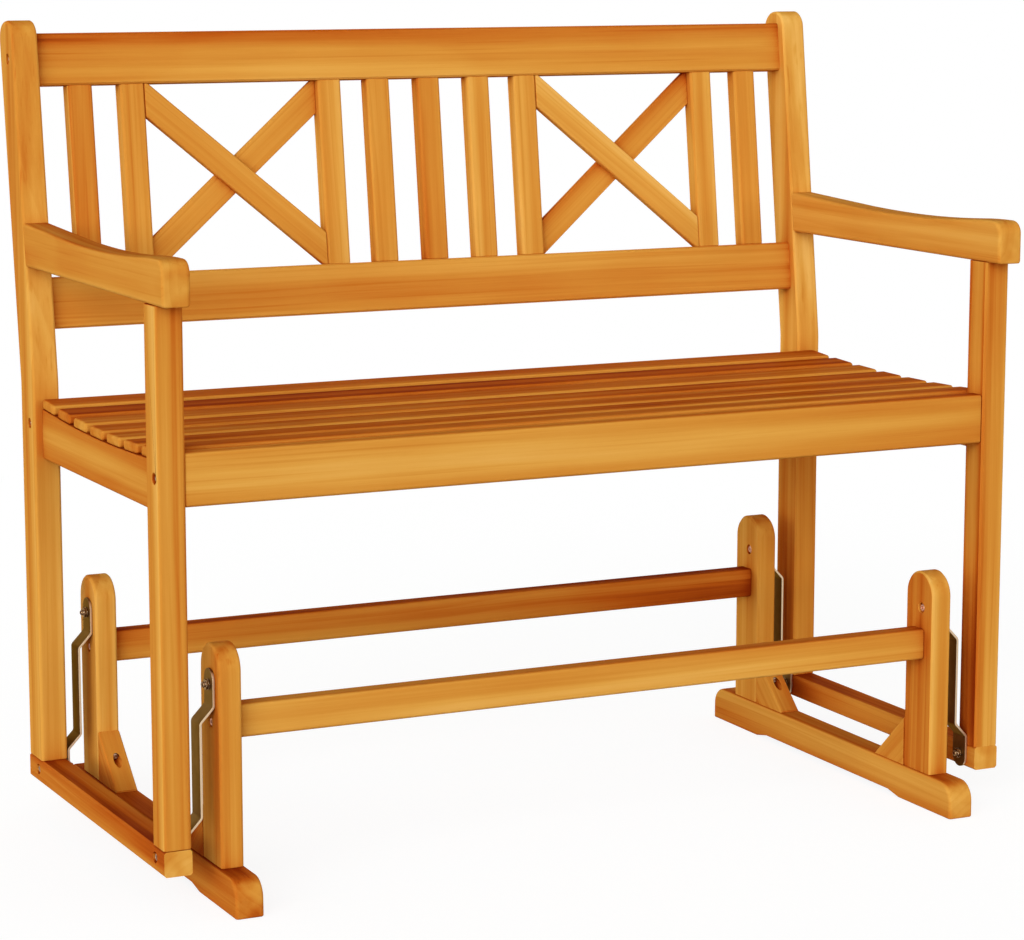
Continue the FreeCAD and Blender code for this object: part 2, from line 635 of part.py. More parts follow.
def link(end):
    """Flat bar joggled twice, with a rounded end around each pivot."""
    top_z = PIVOT_UPPER_Z + LINK_TOP_END
    low_z = PIVOT_LOWER_Z - LINK_LOW_END
    upper_jog = PIVOT_UPPER_Z - UPPER_JOG_DROP
    lower_jog = PIVOT_LOWER_Z + LOWER_JOG_RISE
    path = [
        (LINK_UPPER_X, top_z),
        (LINK_UPPER_X, upper_jog),
        (LINK_MIDDLE_X, upper_jog - JOG_HEIGHT),
        (LINK_MIDDLE_X, lower_jog + JOG_HEIGHT),
        (LINK_LOWER_X, lower_jog),
        (LINK_LOWER_X, low_z),
    ]
    inner, outer = joggled_faces(path)
    corners = [(LINK_UPPER_X, top_z, 0.0)] + inner
    corners += [(LINK_LOWER_X, low_z, 0.0),
                (LINK_LOWER_X + LINK_THICKNESS, low_z, 0.0)]
    corners += outer[::-1]
    corners += [(LINK_UPPER_X + LINK_THICKNESS, top_z, 0.0)]
    bar = extrude_x(rounded_outline(corners), 0.0, LINK_WIDTH)
    bar.rotate(V(0, 0, 0), V(0, 0, 1), -90.0)
    bar.translate(V(0, LINK_WIDTH / 2.0, 0))
    half = LINK_WIDTH / 2.0
    side_view = [
        Part.LineSegment(V(0, -half, top_z - half), V(0, -half, low_z + half)).toShape(),
        Part.Arc(V(0, -half, low_z + half), V(0, 0, low_z),
                 V(0, half, low_z + half)).toShape(),
        Part.LineSegment(V(0, half, low_z + half), V(0, half, top_z - half)).toShape(),
        Part.Arc(V(0, half, top_z - half), V(0, 0, top_z),
                 V(0, -half, top_z - half)).toShape(),
    ]
    bar = bar.common(extrude_x(side_view, UPRIGHT_OUTER_X, HALF))
    for z in (PIVOT_UPPER_Z, PIVOT_LOWER_Z):
        bar = bar.cut(rod(PIVOT_BOLT + 2 * HOLE_CLEARANCE, V(UPRIGHT_OUTER_X, 0, z),
                          V(HALF, 0, z)))
    bar.translate(V(0, PIVOT_Y[end], 0))
    return bar


def upper_nut_x():
    return LINK_UPPER_X + LINK_THICKNESS + LINK_CLEARANCE


def lower_nut_x():
    return LINK_LOWER_X - LINK_CLEARANCE


def upper_pivot_bolt(end):
    """Head in the inner face of an upright, shank out to the nut."""
    face = V(UPRIGHT_INNER_X, PIVOT_Y[end], PIVOT_UPPER_Z)
    return pivot_bolt(face, V(upper_nut_x() - UPRIGHT_INNER_X, 0, 0))


def lower_pivot_bolt(end):
    """Head in the outer face of a bottom rail, shank in to the nut."""
    face = V(HALF, PIVOT_Y[end], PIVOT_LOWER_Z)
    return pivot_bolt(face, V(lower_nut_x() - HALF, 0, 0))


def upper_nut(end):
    return domed_nut(upper_nut_x(), 1.0, PIVOT_Y[end], PIVOT_UPPER_Z)


def lower_nut(end):
    return domed_nut(lower_nut_x(), -1.0, PIVOT_Y[end], PIVOT_LOWER_Z)


def at_all_pivots(maker):
    """The same fastener at both ends of both sides, as separate solids."""
    return Part.makeCompound([sided(maker(end), side)
                              for side in SIDES for end in ENDS])


# Bench frame
for side in SIDES:
    parts["front_leg_" + side] = sided(front_leg(), side)
    parts["rear_post_" + side] = sided(rear_post(), side)
    parts["bottom_rail_" + side] = sided(bottom_rail(), side)
    parts["armrest_" + side] = sided(armrest(), side)
    parts["seat_bearer_" + side] = sided(
        bearer(BEARER_INNER_X, BEARER_OUTER_X, LEG_REAR_Y, POST_FRONT_Y,
               BEARER_BOTTOM_Z), side)
parts["seat_bearer_centre"] = bearer(
    -SEAT_FRAME_THICKNESS / 2.0, SEAT_FRAME_THICKNESS / 2.0,
    APRON_REAR_Y, SEAT_RAIL_FRONT_Y, APRON_BOTTOM_Z + CENTRE_BEARER_LIFT)
parts["front_apron"] = seat_cross_rail(
    APRON_FRONT_Y, APRON_REAR_Y, APRON_BOTTOM_Z, APRON_TOP_Z)
parts["rear_seat_rail"] = seat_cross_rail(
    SEAT_RAIL_FRONT_Y, SEAT_RAIL_REAR_Y, BEARER_BOTTOM_Z,
    dish_z(SEAT_RAIL_FRONT_Y, BEARER_RADIUS))
for index in range(SEAT_SLAT_COUNT):
    parts["seat_slat_%d" % (index + 1)] = seat_slat(index)

# Backrest
parts["back_top_rail"] = back_rail(TOP_RAIL_BOTTOM)
parts["back_lower_rail"] = back_rail(LOWER_RAIL_BOTTOM)
slat_x = back_slat_positions()
for index, x in enumerate(slat_x):
    parts["back_slat_%d" % (index + 1)] = back_slat(x)
panel_x = (slat_x[6] + slat_x[7]) / 2.0
half_panel = (slat_x[7] - slat_x[6] - BACK_SLAT_WIDTH) / 2.0
for side, middle_x in (("left", -panel_x), ("right", panel_x)):
    parts["back_brace_front_" + side] = brace(middle_x, half_panel, True)
    parts["back_brace_rear_" + side] = brace(middle_x, half_panel, False)

# Base
for side in SIDES:
    parts["foot_" + side] = sided(foot(), side)
    for end in ENDS:
        parts["upright_%s_%s" % (end, side)] = sided(upright(end), side)
        parts["gusset_%s_%s" % (end, side)] = sided(gusset(end), side)
        parts["link_%s_%s" % (end, side)] = sided(link(end), side)
for end in ENDS:
    parts["stretcher_" + end] = stretcher(end)

# Pivot fasteners
parts["upper_pivot_bolts"] = at_all_pivots(upper_pivot_bolt)
parts["upper_domed_nuts"] = at_all_pivots(upper_nut)
parts["lower_pivot_bolts"] = at_all_pivots(lower_pivot_bolt)
parts["lower_nuts"] = at_all_pivots(lower_nut)

os.makedirs("parts", exist_ok=True)
for name, shape in parts.items():
    shape.exportStep("parts/%s.step" % name)
    print("%-24s solids %d valid %s volume %.1f cm3" % (
        name, len(shape.Solids), shape.isValid(), shape.Volume / 1000.0))
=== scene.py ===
import bmesh
import bpy
import math
import random
from mathutils import Matrix, Vector


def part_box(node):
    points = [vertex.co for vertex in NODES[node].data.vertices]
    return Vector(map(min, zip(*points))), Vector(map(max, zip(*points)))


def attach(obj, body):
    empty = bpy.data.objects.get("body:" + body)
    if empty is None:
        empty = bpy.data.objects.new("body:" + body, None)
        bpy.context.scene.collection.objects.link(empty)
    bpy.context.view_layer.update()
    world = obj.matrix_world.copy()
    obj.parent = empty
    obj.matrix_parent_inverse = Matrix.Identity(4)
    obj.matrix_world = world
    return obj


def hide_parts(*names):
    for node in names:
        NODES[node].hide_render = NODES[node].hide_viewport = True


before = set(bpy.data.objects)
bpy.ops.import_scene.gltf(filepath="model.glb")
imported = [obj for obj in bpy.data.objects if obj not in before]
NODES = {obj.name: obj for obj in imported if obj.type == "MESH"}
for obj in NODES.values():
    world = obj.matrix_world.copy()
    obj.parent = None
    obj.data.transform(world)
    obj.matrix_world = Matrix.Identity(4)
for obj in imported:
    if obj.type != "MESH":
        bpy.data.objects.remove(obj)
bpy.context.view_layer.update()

MM = 0.001
X, Y, Z = (1, 0, 0), (0, 1, 0), (0, 0, 1)
LEFT, FRONT = (-1, 0, 0), (0, -1, 0)


def srgb(red, green, blue):
    """Linear colour with alpha from three values of 0 to 255."""
    out = []
    for value in (red, green, blue):
        v = value / 255.0
        out.append(v / 12.92 if v <= 0.04045 else ((v + 0.055) / 1.055) ** 2.4)
    return (out[0], out[1], out[2], 1.0)


# Camera at the photograph's angle, tilted down and not rolled

CAMERA_PLACE = Vector((-1.539, -3.171, 0.974))
CAMERA_TURN = math.radians(25.838)
CAMERA_TILT = math.radians(9.475)
LENS = 112.6
SENSOR_WIDTH = 36.0
CLIP = (0.1, 200.0)


def add_camera():
    data = bpy.data.cameras.new("camera")
    data.sensor_width = SENSOR_WIDTH
    data.lens = LENS
    data.clip_start, data.clip_end = CLIP
    camera = bpy.data.objects.new("camera", data)
    bpy.context.scene.collection.objects.link(camera)
    look = Vector((
        math.sin(CAMERA_TURN) * math.cos(CAMERA_TILT),
        math.cos(CAMERA_TURN) * math.cos(CAMERA_TILT),
        -math.sin(CAMERA_TILT),
    ))
    camera.location = CAMERA_PLACE
    camera.rotation_mode = "QUATERNION"
    camera.rotation_quaternion = look.to_track_quat("-Z", "Y")
    bpy.context.scene.camera = camera


add_camera()
bpy.context.scene.view_settings.view_transform = "Standard"


# Shader helpers

FLAT = 0.995


class Tree:
    """A material's or world's node tree, with short calls to add to it."""

    def __init__(self, owner):
        owner.use_nodes = True
        self.tree = owner.node_tree
        self.tree.nodes.clear()

    def add(self, kind, inputs=None, **settings):
        """Adds a node; sockets among its inputs are linked and other values are set."""
        made = self.tree.nodes.new(kind)
        for key, value in settings.items():
            setattr(made, key, value)
        for key, value in (inputs or {}).items():
            self.put(made.inputs[key], value)
        return made

    def put(self, socket, value):
        if isinstance(value, bpy.types.NodeSocket):
            self.tree.links.new(value, socket)
        else:
            socket.default_value = value

    def math(self, operation, a, b=None, c=None, clamp=False):
        made = self.add("ShaderNodeMath", operation=operation, use_clamp=clamp)
        for i, value in enumerate((a, b, c)):
            if value is not None:
                self.put(made.inputs[i], value)
        return made.outputs[0]

    def vector(self, operation, a, b=None):
        made = self.add("ShaderNodeVectorMath", operation=operation)
        self.put(made.inputs[0], a)
        if b is not None:
            self.put(made.inputs[1], b)
        return made.outputs["Value" if operation in ("LENGTH", "DOT_PRODUCT") else "Vector"]

    def noise(self, place, repeats, detail=1.0, rough=0.5, colour=False):
        """Noise that repeats so often for each unit of place along its three directions."""
        made = self.add("ShaderNodeTexNoise", {
            "Vector": self.vector("MULTIPLY", place, repeats), "Scale": 1.0,
            "Detail": detail, "Roughness": rough})
        return made.outputs["Color" if colour else "Fac"]

    def stretch(self, value, low, high, to_low=0.0, to_high=1.0, smooth=False):
        """Value from low to high, mapped to a new range and held at its ends."""
        made = self.add("ShaderNodeMapRange", {
            "Value": value, "From Min": low, "From Max": high,
            "To Min": to_low, "To Max": to_high},
            interpolation_type="SMOOTHSTEP" if smooth else "LINEAR")
        return made.outputs["Result"]

    def shade(self, total, pattern, amount, middle=0.5):
        """Adds to total how far the pattern lies from its middle, times amount."""
        return self.math("MULTIPLY_ADD", self.math("SUBTRACT", pattern, middle), amount, total)

    def ramp(self, value, stops):
        made = self.add("ShaderNodeValToRGB", {"Fac": value})
        ramp = made.color_ramp
        while len(ramp.elements) < len(stops):
            ramp.elements.new(0.5)
        for element, (place, colour) in zip(ramp.elements, stops):
            element.position = place
            element.color = colour
        return made.outputs["Color"]

    def mix(self, amount, a, b):
        made = self.add("ShaderNodeMix", data_type="RGBA")
        self.put(made.inputs["Factor"], amount)
        self.put(made.inputs["A"], a)
        self.put(made.inputs["B"], b)
        return made.outputs["Result"]

    def edges(self, radius, sharp):
        """0 where a rounded normal agrees with the true one to FLAT, 1 where it falls to sharp."""
        geometry = self.add("ShaderNodeNewGeometry")
        rounded = self.add("ShaderNodeBevel", {"Radius": radius}, samples=4).outputs["Normal"]
        flatness = self.vector("DOT_PRODUCT", rounded, geometry.outputs["Normal"])
        return self.stretch(flatness, FLAT, sharp, smooth=True)


# Wood. Its tone runs from 0, pale, to 1, dark, along these colours.

GOLDEN = [
    (0.00, srgb(235, 185, 97)),
    (0.22, srgb(224, 165, 73)),
    (0.42, srgb(213, 145, 56)),
    (0.60, srgb(203, 122, 41)),
    (0.78, srgb(189, 92, 22)),
    (1.00, srgb(140, 50, 10)),
]

# How often each pattern repeats per millimetre across, through and along a board
WAVES = (0.012, 0.012, 0.0019)
BROAD = (0.045, 0.045, 0.0010)
NARROW = (0.17, 0.17, 0.0028)
STREAKS = (0.24, 0.24, 0.0016)
CLOUDS = (0.018, 0.018, 0.006)
FIBRES = (0.85, 0.85, 0.016)
PORES = (2.4, 2.4, 0.08)
RUBBING = (0.12, 0.12, 0.02)

# Growth rings in millimetres: how far off the pith lies and how thick a ring is, at least
# and at most, how far the waves push the rings, and how much of that the bands follow
PITH_REACH = (60, 130)
RING_WIDTH = (6.0, 9.5)
WAVE_PUSH = (30, 30, 0)
BAND_SHARE = (0.35, 0.35, 0)
RING_STOPS = [
    (0.00, (0, 0, 0, 1)), (0.50, (0.30, 0.30, 0.30, 1)), (0.82, (0.85, 0.85, 0.85, 1)),
    (0.90, (0.85, 0.85, 0.85, 1)), (1.00, (0, 0, 0, 1))]
FAINTEST_RING = 0.10

# Where a pattern's values begin and end to count
BROAD_RANGE = (0.32, 0.68)
FEW = (0.60, 0.78)
END_FACES = (0.75, 0.96)
FACING = (0.66, 0.96)
OPEN_TO_HIDDEN = (0.92, 0.22)
RUBBED = (0.35, 0.65, -0.6, 1.0)

# How much darker each pattern makes the wood
MIDDLE_TONE = 0.40
BROAD_TONE = 0.30
NARROW_TONE = 0.24
STREAK_TONE = 0.13
CLOUD_TONE = 0.20
RING_TONE = 0.09
FIBRE_TONE = 0.12
PORE_TONE = 0.04
# painted shade where pieces meet and in hollows, and how far it reaches
CREVICE_SHADE = 0.38
CREVICE_REACH = 0.04
END_CALM = 0.25

# Relief, gloss and wear
FIBRE_RELIEF = 0.55
RING_RELIEF = 0.25
PORE_RELIEF = -0.5
RELIEF_STRENGTH = 0.20
RELIEF_DEPTH = 0.0004
WOOD_EDGE = 0.0026
WOOD_SHARP = 0.90
WOOD_ROUGH = 0.44
FIBRE_ROUGH = 0.14
WORN_ROUGH = -0.06
OIL_COAT = 0.02
OIL_ROUGH = 0.34


def board_space(t, position, centre, grain, across):
    """Millimetres across, through and along a board, from the middle of its box."""
    across = Vector(across)
    across = (across - grain * across.dot(grain)).normalized()
    turn = Matrix((across, grain.cross(across), grain)).transposed()
    return t.add("ShaderNodeMapping", {
        "Vector": position, "Location": centre, "Rotation": turn.to_euler(),
        "Scale": (MM, MM, MM)}, vector_type="TEXTURE").outputs["Vector"]


def growth_rings(t, local, waves, rng):
    """Rings round a pith beyond the board, pushed by the waves, each as strong as chance."""
    angle = rng.uniform(0, 2 * math.pi)
    reach = rng.uniform(*PITH_REACH)
    pith = (reach * math.cos(angle), reach * math.sin(angle), 0.0)
    flat = t.vector("MULTIPLY", local, (1, 1, 0))
    radius = t.vector("LENGTH", t.vector("ADD", t.vector("SUBTRACT", flat, pith), waves))
    rings = t.math("DIVIDE", radius, rng.uniform(*RING_WIDTH))
    ring = t.ramp(t.math("FRACT", rings), RING_STOPS)
    strength = t.add("ShaderNodeTexWhiteNoise", {"W": t.math("FLOOR", rings)},
                     noise_dimensions="1D").outputs["Value"]
    return t.math("MULTIPLY", ring, t.stretch(strength, 0.0, 1.0, FAINTEST_RING, 1.0))


def with_side_shade_and_fades(t, total, coords, faces, fades):
    """Adds painted light and shade on the faces that look along a direction, and the tones of the
    fades.
    """
    for way, amount in faces:
        side = t.vector("DOT_PRODUCT", coords.outputs["Normal"], way)
        side = t.stretch(side, *FACING, smooth=True)
        total = t.math("MULTIPLY_ADD", side, amount, total)
    for axis, start, stop, amount in fades:
        along = t.vector("DOT_PRODUCT", coords.outputs["Object"], axis)
        total = t.math("ADD", total, t.stretch(along, start, stop, 0.0, amount, smooth=True))
    return total


def with_crevice_shade(t, total):
    """Darkens the wood where pieces meet and in hollows, found by ambient occlusion: painted
    shade.
    """
    hidden = t.add("ShaderNodeAmbientOcclusion", {"Distance": CREVICE_REACH}, samples=6)
    crevice_shade = t.stretch(hidden.outputs["AO"], *OPEN_TO_HIDDEN, 0.0, CREVICE_SHADE)
    return t.math("ADD", total, crevice_shade)


def wood_relief(t, fibre, ring, pores):
    """Normal of a surface whose fibres and rings stand up and whose pores are sunk."""
    height = t.math("MULTIPLY", fibre, FIBRE_RELIEF)
    height = t.math("MULTIPLY_ADD", ring, RING_RELIEF, height)
    height = t.math("MULTIPLY_ADD", pores, PORE_RELIEF, height)
    bump = t.add("ShaderNodeBump", {
        "Height": height, "Strength": RELIEF_STRENGTH, "Distance": RELIEF_DEPTH})
    return bump.outputs["Normal"]


def wood(name, centre, grain, across, seed, tone=0.0, bands=1.0, top_shade=0.20, ends=-0.06,
         faces=(), fades=(), edge_wear_and_sheen=0.09):
    """Oiled hardwood whose fibres run along the grain direction of its board.

    tone darkens the whole board and ends its ends. The upper-face amount paints shade on its
    upper face, and faces paints light and shade on the faces that look along a direction.
    fades holds (axis, from, to, amount): darker by amount towards the second place, in
    metres. bands scales the broad bands, and the edge amount the paler edges: wear, and on
    the seat slats also a painted sheen.
    """
    rng = random.Random(seed)
    material = bpy.data.materials.new(name)
    t = Tree(material)
    grain = Vector(grain).normalized()
    coords = t.add("ShaderNodeTexCoord")
    local = board_space(t, coords.outputs["Object"], centre, grain, across)
    away = (rng.uniform(200, 900), rng.uniform(200, 900), rng.uniform(2000, 9000))
    shifted = t.vector("ADD", local, away)
    waves = t.noise(shifted, WAVES, 1.0, 0.45, True)
    waves = t.vector("MULTIPLY", t.vector("SUBTRACT", waves, (0.5, 0.5, 0.5)), WAVE_PUSH)
    ring = growth_rings(t, local, waves, rng)

    # broad and narrow bands, clouds, fibres, pores and a few dark streaks
    bent = t.vector("ADD", shifted, t.vector("MULTIPLY", waves, BAND_SHARE))
    broad = t.stretch(t.noise(shifted, BROAD), *BROAD_RANGE)
    narrow = t.noise(bent, NARROW, 2.0, 0.5)
    streak = t.stretch(t.noise(bent, STREAKS), *FEW, smooth=True)
    cloud = t.noise(shifted, CLOUDS)
    fibre = t.noise(shifted, FIBRES, 3.0, 0.6)
    pores = t.stretch(t.noise(shifted, PORES), *FEW)
    fine = t.shade(0.0, fibre, FIBRE_TONE)
    fine = t.math("MULTIPLY_ADD", streak, STREAK_TONE, fine)
    fine = t.math("MULTIPLY_ADD", pores, PORE_TONE, fine)
    fine = t.shade(fine, narrow, NARROW_TONE)

    # the fine patterns are weaker on the ends of the board
    end = t.math("ABSOLUTE", t.vector("DOT_PRODUCT", coords.outputs["Normal"], grain))
    end = t.stretch(end, *END_FACES, smooth=True)
    calm = t.stretch(end, 0.0, 1.0, 1.0, END_CALM)
    total = t.shade(MIDDLE_TONE + tone, broad, BROAD_TONE * bands)
    total = t.shade(total, cloud, CLOUD_TONE)
    total = t.shade(total, ring, RING_TONE, middle=0.20)
    total = t.math("MULTIPLY_ADD", fine, calm, total)
    total = t.math("MULTIPLY_ADD", end, ends, total)
    # painted light and shade on the faces by their direction, painted shade on the upper faces,
    # and the fades
    total = with_side_shade_and_fades(t, total, coords, faces + ((Z, top_shade),), fades)
    # painted shade where pieces meet
    total = with_crevice_shade(t, total)

    # edges rubbed pale in places; on the seat slats the stronger paleness is a painted sheen
    rubbed = t.stretch(t.noise(shifted, RUBBING, 2.0, 0.6), *RUBBED)
    pale_edges = t.math("MULTIPLY", t.edges(WOOD_EDGE, WOOD_SHARP), rubbed)
    total = t.math("MULTIPLY_ADD", pale_edges, -edge_wear_and_sheen, total)
    gloss = t.math("MULTIPLY_ADD", fibre, FIBRE_ROUGH, WOOD_ROUGH)
    gloss = t.math("MULTIPLY_ADD", pale_edges, WORN_ROUGH, gloss)

    shader = t.add("ShaderNodeBsdfPrincipled", {
        "Base Color": t.ramp(total, GOLDEN), "Roughness": gloss,
        "Normal": wood_relief(t, fibre, ring, pores), "Specular IOR Level": 0.0,
        "Coat Weight": OIL_COAT, "Coat Roughness": OIL_ROUGH})
    t.add("ShaderNodeOutputMaterial", {"Surface": shader.outputs["BSDF"]})
    return material


# Steel

# How often each pattern repeats per millimetre along X, Y and Z
BRUSHED_BAR = (0.9, 0.9, 0.02)
TURNED = (0.5, 0.5, 0.5)
BLOTCHES = (0.10, 0.10, 0.07)
GRIT = (2.4, 2.4, 2.4)
SEED_STEP = Vector((37.0, 91.0, 53.0))

# How much each pattern lightens the steel, and how much paler its lightest places are
STEEL_MIDDLE = 0.35
STREAK_SHARE = 0.5
BLOTCH_SHARE = 0.9
GRIT_SHARE = 0.25
PALE_GAIN = 1.9
TINT_SHARE = 0.8

STEEL_EDGE = 0.0006
STEEL_SHARP = 0.88
STEEL_RUBBED = (0.30, 0.62, 0.35, 0.9)
# faces that look along edge_axis are made nearly as pale as the rubbed edges
PALE_SIDE_FACING = (0.55, 0.85)
PALE_SIDE_SHARE = 0.9
STREAK_ROUGH = 0.18
GRIT_RELIEF = 0.4
STEEL_RELIEF_STRENGTH = 0.18
STEEL_RELIEF_DEPTH = 0.00015


def steel(name, dark, pale, rough, brushed, seed, edge_axis=None):
    """Passivated steel with brushed streaks, blotches and paler rubbed edges.

    The faces that look along edge_axis, if it is given, are as pale as the edges.
    """
    material = bpy.data.materials.new(name)
    t = Tree(material)
    coords = t.add("ShaderNodeTexCoord")
    local = t.vector("MULTIPLY", coords.outputs["Object"], (1.0 / MM, 1.0 / MM, 1.0 / MM))
    local = t.vector("ADD", local, SEED_STEP * seed)
    streaks = t.noise(local, brushed, 3.0, 0.6)
    blotch = t.noise(local, BLOTCHES, 3.0, 0.6)
    grit = t.noise(local, GRIT, 2.0, 0.6)
    amount = t.shade(STEEL_MIDDLE, streaks, STREAK_SHARE)
    amount = t.shade(amount, blotch, BLOTCH_SHARE)
    amount = t.math("MULTIPLY_ADD", t.math("SUBTRACT", grit, 0.5), GRIT_SHARE, amount, clamp=True)
    colour = t.mix(amount, dark, [min(1.0, v * PALE_GAIN) for v in dark[:3]] + [1.0])

    rubbed = t.stretch(blotch, *STEEL_RUBBED)
    pale_edges = t.math("MULTIPLY", t.edges(STEEL_EDGE, STEEL_SHARP), rubbed)
    if edge_axis:
        side = t.vector("DOT_PRODUCT", coords.outputs["Normal"], edge_axis)
        side = t.stretch(t.math("ABSOLUTE", side), *PALE_SIDE_FACING, smooth=True)
        pale_edges = t.math("MAXIMUM", pale_edges, t.math("MULTIPLY", side, PALE_SIDE_SHARE))
    colour = t.mix(pale_edges, colour, pale)

    bump = t.add("ShaderNodeBump", {
        "Height": t.math("MULTIPLY_ADD", grit, GRIT_RELIEF, streaks),
        "Strength": STEEL_RELIEF_STRENGTH, "Distance": STEEL_RELIEF_DEPTH})
    shader = t.add("ShaderNodeBsdfPrincipled", {
        "Base Color": colour, "Metallic": 1.0,
        "Roughness": t.math("MULTIPLY_ADD", streaks, STREAK_ROUGH, rough),
        "Specular Tint": [v * TINT_SHARE for v in pale[:3]] + [1.0],
        "Normal": bump.outputs["Normal"]})
    t.add("ShaderNodeOutputMaterial", {"Surface": shader.outputs["BSDF"]})
    return material


# Arrises, in metres and degrees

WELD = 0.00002
FLAT_ANGLE = math.radians(0.6)
ARRIS_ANGLE = math.radians(24)
LINK_ARRIS = 0.00035
SMALL_ARRIS = 0.0009
LARGE_ARRIS = 0.0015


def ease(obj, width, segments):
    """Rounds the node's arrises with modifiers; its own mesh stays as it is."""
    weld = obj.modifiers.new("weld", "WELD")
    weld.merge_threshold = WELD
    plane = obj.modifiers.new("plane", "DECIMATE")
    plane.decimate_type = "DISSOLVE"
    plane.angle_limit = FLAT_ANGLE
    bevel = obj.modifiers.new("bevel", "BEVEL")
    bevel.limit_method = "ANGLE"
    bevel.angle_limit = ARRIS_ANGLE
    bevel.width = width
    bevel.segments = segments
    bevel.use_clamp_overlap = True
    normals = obj.modifiers.new("normals", "WEIGHTED_NORMAL")
    normals.mode = "FACE_AREA_WITH_ANGLE"
    normals.weight = 50
    normals.keep_sharp = True


def dress(obj, material):
    if not obj.material_slots:
        obj.data.materials.append(material)
    for slot in obj.material_slots:
        slot.material = material


# Boards

RAKE = math.atan(0.127)
RAKED = (0.0, math.sin(RAKE), math.cos(RAKE))
BRACE_LEAN = math.radians(40.4)
GUSSET_GRAIN = {"gusset_front": (0, 0.738, -0.675), "gusset_rear": (0, -0.738, -0.675)}


def brace_way(rise):
    """Direction along a diagonal brace; rise is 1 or -1."""
    climb = rise * math.sin(BRACE_LEAN)
    return (math.cos(BRACE_LEAN), climb * RAKED[1], climb * RAKED[2])


def grain_of(name):
    """Grain direction and a direction across it, for each kind of board."""
    if name.startswith(("front_apron", "rear_seat_rail", "seat_slat", "stretcher")):
        return X, Z
    if name.startswith(("back_top_rail", "back_lower_rail")):
        return X, RAKED
    if name.startswith(("bottom_rail", "armrest", "seat_bearer", "foot")):
        return Y, Z
    if name.startswith("back_slat"):
        return RAKED, X
    if name.startswith("back_brace_front"):
        return brace_way(-1.0), Y
    if name.startswith("back_brace_rear"):
        return brace_way(1.0), Y
    for kind, grain in GUSSET_GRAIN.items():
        if name.startswith(kind):
            return grain, X
    return Z, X


# What sets one kind of board apart from the rest
KINDS = {
    # paler front faces and much paler edges of the seat slats: painted highlight and sheen; darker
    # upper faces: painted shade
    "seat_slat": {"faces": ((FRONT, -0.07),), "bands": 0.6, "ends": 0.02, "top_shade": 0.25,
                  "edge_wear_and_sheen": 0.28},
    # paler left faces of the back slats: painted sheen
    "back_slat": {"faces": ((LEFT, -0.05),)},
    # darker upper faces of the feet and the apron: painted shade
    "foot": {"top_shade": 0.32},
    "front_apron": {"top_shade": 0.27},
}

# What sets one board apart: its tone, the painted light and shade on its faces, its fades, its
# ends and its bands
TONES = {
    "armrest_left": 0.00, "armrest_right": -0.06, "back_brace_front_left": -0.04,
    "back_brace_front_right": -0.20, "back_brace_rear_left": -0.08, "back_brace_rear_right": 0.06,
    "back_lower_rail": -0.08, "back_slat_1": 0.16, "back_slat_2": -0.04, "back_slat_3": -0.10,
    "back_slat_4": -0.04, "back_slat_5": 0.15, "back_slat_6": -0.04, "back_slat_7": -0.14,
    "back_slat_8": -0.10, "back_slat_9": -0.04, "back_top_rail": -0.06, "bottom_rail_left": 0.21,
    "bottom_rail_right": 0.11, "foot_left": 0.10, "foot_right": -0.04, "front_apron": -0.12,
    "front_leg_left": 0.16, "front_leg_right": -0.02, "gusset_front_left": 0.16,
    "gusset_rear_left": 0.08, "gusset_rear_right": 0.16, "rear_post_left": 0.00,
    "rear_post_right": -0.20, "seat_bearer_left": 0.09, "seat_slat_1": 0.05, "seat_slat_2": 0.25,
    "seat_slat_3": -0.02, "seat_slat_4": 0.10, "seat_slat_5": 0.05, "seat_slat_6": 0.08,
    "seat_slat_7": 0.03, "stretcher_front": -0.10, "stretcher_rear": 0.17,
    "upright_front_left": 0.02, "upright_front_right": -0.06, "upright_rear_left": -0.16,
    "upright_rear_right": 0.06,
}
# Painted light and shade by side: paler faces where light falls, darker faces in shade, such as
# the inner faces of the right leg and the front right upright, and a painted sheen on the right
# armrest's top and the first back slat's left face
SIDE_LIGHT_AND_SHADE = {
    "front_leg_left": ((LEFT, -0.34),), "front_leg_right": ((LEFT, 0.26),),
    "rear_post_right": ((LEFT, 0.12),), "bottom_rail_left": ((LEFT, 0.05),),
    "upright_front_right": ((LEFT, 0.45),), "upright_front_left": ((LEFT, -0.01),),
    "upright_rear_left": ((LEFT, -0.09),), "upright_rear_right": ((LEFT, -0.07),),
    "rear_post_left": ((LEFT, -0.05),), "armrest_right": ((Z, -0.22),),
    "back_slat_1": ((LEFT, -0.50),), "back_slat_9": ((LEFT, -0.12),),
    "back_slat_5": ((LEFT, -0.07),), "back_slat_4": ((LEFT, 0.12),),
    "back_slat_3": ((LEFT, 0.05),),
}
# The rear right post's fade is painted shade, darker below the seat; the other fades make a board
# darker or paler along an axis
FADES = {
    "front_leg_left": ((X, -0.4800, -0.4765, -0.24), (X, -0.4900, -0.4870, 0.05)),
    "front_leg_right": ((Z, 0.46, 0.58, 0.05), (X, 0.4785, 0.4825, -0.16)),
    "rear_post_right": ((Z, 0.47, 0.40, 0.30),),
    "bottom_rail_right": ((Y, -0.05, 0.20, 0.18),),
    "front_apron": ((X, 0.10, 0.46, 0.15),),
    "back_top_rail": ((Z, 0.838, 0.866, 0.22), (X, -0.30, -0.45, 0.10)),
    "back_lower_rail": ((Z, 0.586, 0.576, 0.12), (X, 0.25, 0.44, 0.06)),
    "seat_slat_6": ((X, -0.28, -0.42, 0.08),),
    "seat_slat_7": ((X, -0.25, -0.42, 0.12),),
    "stretcher_front": ((X, 0.05, 0.40, 0.10),),
    "stretcher_rear": ((X, 0.05, 0.40, 0.22),),
}
ENDS = {"bottom_rail_left": -0.34, "bottom_rail_right": -0.15}
